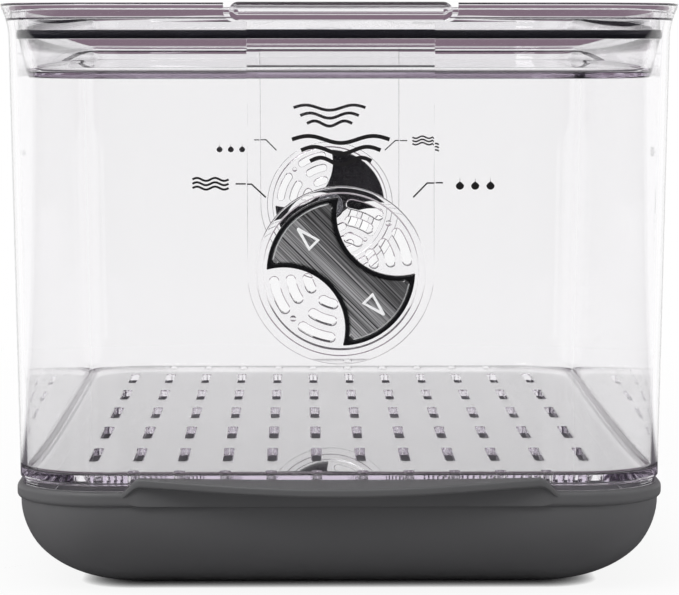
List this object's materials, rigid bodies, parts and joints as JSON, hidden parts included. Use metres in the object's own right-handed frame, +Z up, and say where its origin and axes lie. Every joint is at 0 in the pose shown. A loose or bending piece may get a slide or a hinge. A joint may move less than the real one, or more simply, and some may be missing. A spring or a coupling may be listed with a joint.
{
  "type": "produce keeper",
  "caption": "Clear rectangular food bin with a press-in lid, turning air vents front and back, and a dark base tray with a pull lip.",
  "frame": {"origin": "middle of the base tray's flat bottom, on the surface that it stands on", "axes": "+Z up, +Y from front to back, +X to the right seen from the front; the pull lip and the lid's lift tab face -Y"},
  "size_m": [0.2, 0.3304, 0.1729],
  "materials": {
    "tray_plastic": "fine matte moulded plastic, dark grey",
    "clear_plastic": "clear glossy moulded plastic, faintly lavender in thick sections",
    "seal_rubber": "smooth near-black silicone rubber",
    "black_plastic": "satin black moulded plastic",
    "brushed_metal": "dark brushed metal, brushed along the blades",
    "fastener_steel": "plain stainless steel"
  },
  "bodies": {
    "keeper": {"base_tray": "tray_plastic", "bin": "clear_plastic"},
    "lid": {"lid": "clear_plastic", "lid_seal": "seal_rubber"},
    "front_vent": {"front_knob": "black_plastic", "front_knob_plate": "brushed_metal", "front_vent_washer": "fastener_steel", "front_vent_screw": "fastener_steel"},
    "back_vent": {"back_knob": "black_plastic", "back_knob_plate": "brushed_metal", "back_vent_washer": "fastener_steel", "back_vent_screw": "fastener_steel"}
  },
  "joints": [
    {"name": "lid_lift", "type": "slide", "parent": "keeper", "child": "lid", "axis": [0, 0, 1], "range_m": [0, 0.08]},
    {"name": "front_vent_turn", "type": "hinge", "parent": "keeper", "child": "front_vent", "pos_m": [0, -0.1595, 0.0958], "axis": [0, 1, 0], "range_deg": [0, 90]},
    {"name": "back_vent_turn", "type": "hinge", "parent": "keeper", "child": "back_vent", "pos_m": [0, 0.1595, 0.0958], "axis": [0, -1, 0], "range_deg": [0, 90]}
  ]
}
